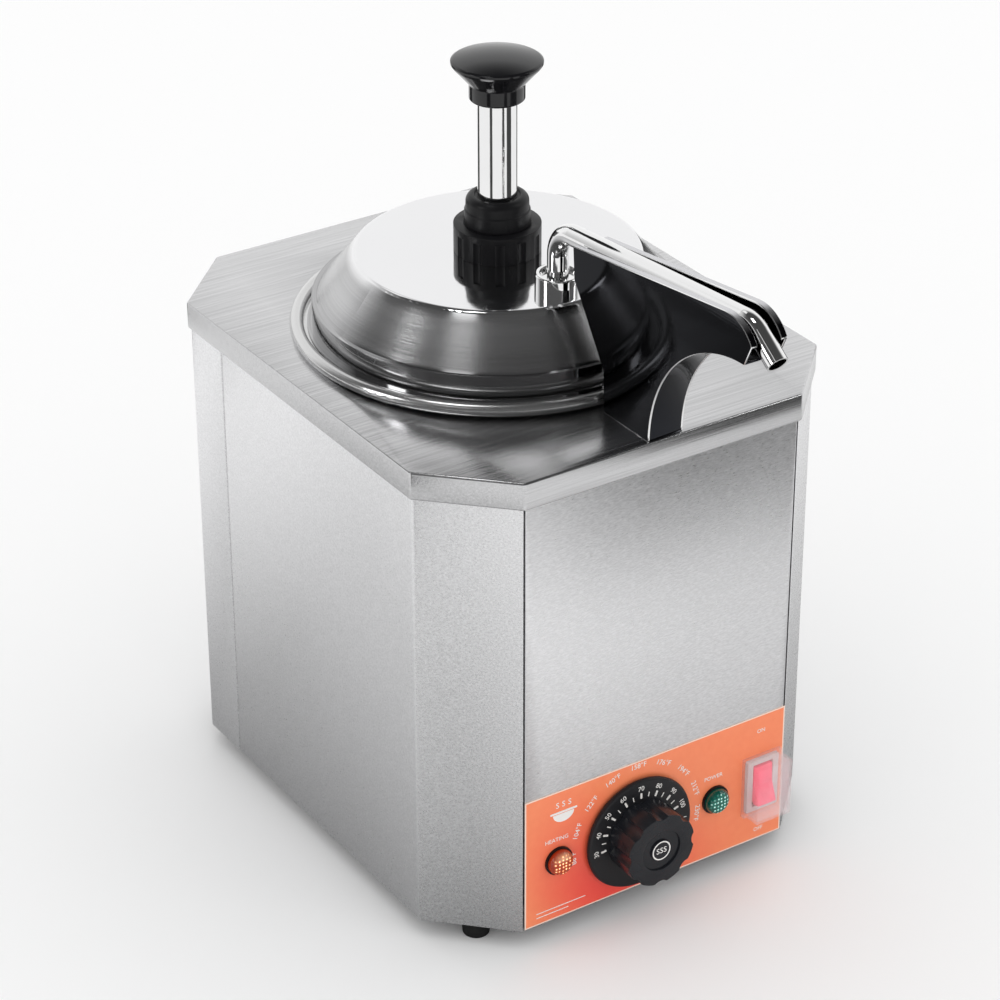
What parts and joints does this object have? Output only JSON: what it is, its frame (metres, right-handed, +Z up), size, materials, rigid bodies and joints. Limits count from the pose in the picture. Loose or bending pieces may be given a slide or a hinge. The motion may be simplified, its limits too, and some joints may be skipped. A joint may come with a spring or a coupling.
{
  "type": "heated cheese pump dispenser",
  "caption": "Countertop heated dispenser for melted cheese: bevelled steel case with lift-out pot, lid-mounted plunger pump, shrouded forward spout, thermostat dial, lamps and rocker switch.",
  "frame": {"origin": "centre of the case's footprint, on the counter plane under the rubber feet", "axes": "+Z up along the pump, -Y towards the front with the spout and the controls, +X to the right as seen from the front"},
  "size_m": [0.21, 0.3323, 0.3638],
  "materials": {
    "steel": "brushed stainless sheet",
    "bright_steel": "polished stainless",
    "inner_steel": "satin stainless",
    "black_plastic": "satin moulded",
    "gloss_black": "gloss moulded",
    "foot_rubber": "matt",
    "orange_label": "printed film",
    "green_lens": "clear green",
    "amber_lens": "clear amber",
    "red_rocker": "clear red",
    "clear_cover": "clear flexible plastic",
    "silicone": "food silicone",
    "element_sheath": "heat-tinted",
    "brass_nut": "plain",
    "white_plastic": "moulded",
    "badge_white": "inlaid disc"
  },
  "bodies": {
    "case": {"base_plate": "steel", "bush_nut": "black_plastic", "cable_bush": "black_plastic", "clamp_nut": "inner_steel", "clamp_stud": "inner_steel", "control_label": "orange_label", "element_clamp": "inner_steel", "foot_front_left": "foot_rubber", "foot_front_right": "foot_rubber", "foot_nuts": "inner_steel", "foot_rear_left": "foot_rubber", "foot_rear_right": "foot_rubber", "foot_screws": "inner_steel", "front_panel": "steel", "heated_well": "inner_steel", "heating_element": "element_sheath", "heating_lamp_housing": "black_plastic", "heating_lamp_lens": "amber_lens", "left_shell": "steel", "mains_lamp_housing": "black_plastic", "mains_lamp_lens": "green_lens", "overheat_cutout": "element_sheath", "rear_cover": "steel", "rear_cover_screws": "inner_steel", "right_shell": "steel", "shroud_front_strip": "steel", "shroud_left_plate": "steel", "shroud_right_plate": "steel", "switch_boot": "clear_cover", "switch_frame": "black_plastic", "switch_housing": "black_plastic", "terminal_block": "white_plastic", "terminal_screws": "brass_nut", "thermostat_housing": "black_plastic", "thermostat_sensor": "brass_nut", "top_cap": "steel"},
    "pot": {"food_pot": "inner_steel"},
    "lid_and_pump": {"lid": "steel", "lid_seal": "silicone", "pump_cylinder": "inner_steel", "pump_head": "black_plastic", "lock_collar": "black_plastic", "spout_nut": "bright_steel", "spout_tube": "bright_steel", "riser_tube": "inner_steel", "foot_valve": "white_plastic", "valve_cage": "inner_steel", "return_spring": "inner_steel"},
    "plunger": {"push_knob": "gloss_black", "plunger_tube": "bright_steel", "plunger_rod": "inner_steel", "piston": "white_plastic", "piston_seal": "silicone"},
    "intake_ball": {"valve_ball": "inner_steel"},
    "thermostat_knob": {"dial_skirt": "black_plastic", "knob_grip": "black_plastic", "knob_badge": "badge_white", "thermostat_shaft": "inner_steel"},
    "rocker": {"switch_rocker": "red_rocker"}
  },
  "joints": [
    {"name": "pot_lift", "type": "slide", "parent": "case", "child": "pot", "axis": [0, 0, 1], "range_m": [0, 0.012]},
    {"name": "lid_lift", "type": "slide", "parent": "pot", "child": "lid_and_pump", "axis": [0, 0.4179, 0.9085], "range_m": [0, 0.165]},
    {"name": "plunger_press", "type": "slide", "parent": "lid_and_pump", "child": "plunger", "axis": [0, 0, -1], "range_m": [0, 0.04], "stiffness_N_per_m": 250, "springref_m": -0.03, "deforming": ["return_spring"]},
    {"name": "intake_ball_lift", "type": "slide", "parent": "lid_and_pump", "child": "intake_ball", "axis": [0, 0, 1], "range_m": [0, 0.005]},
    {"name": "thermostat_turn", "type": "hinge", "parent": "case", "child": "thermostat_knob", "pos_m": [-0.011, -0.1302, 0.042], "axis": [0, 1, 0], "range_deg": [0, 215]},
    {"name": "rocker_tilt", "type": "hinge", "parent": "case", "child": "rocker", "pos_m": [0.0575, -0.1255, 0.042], "axis": [1, 0, 0], "range_deg": [0, 16]}
  ]
}
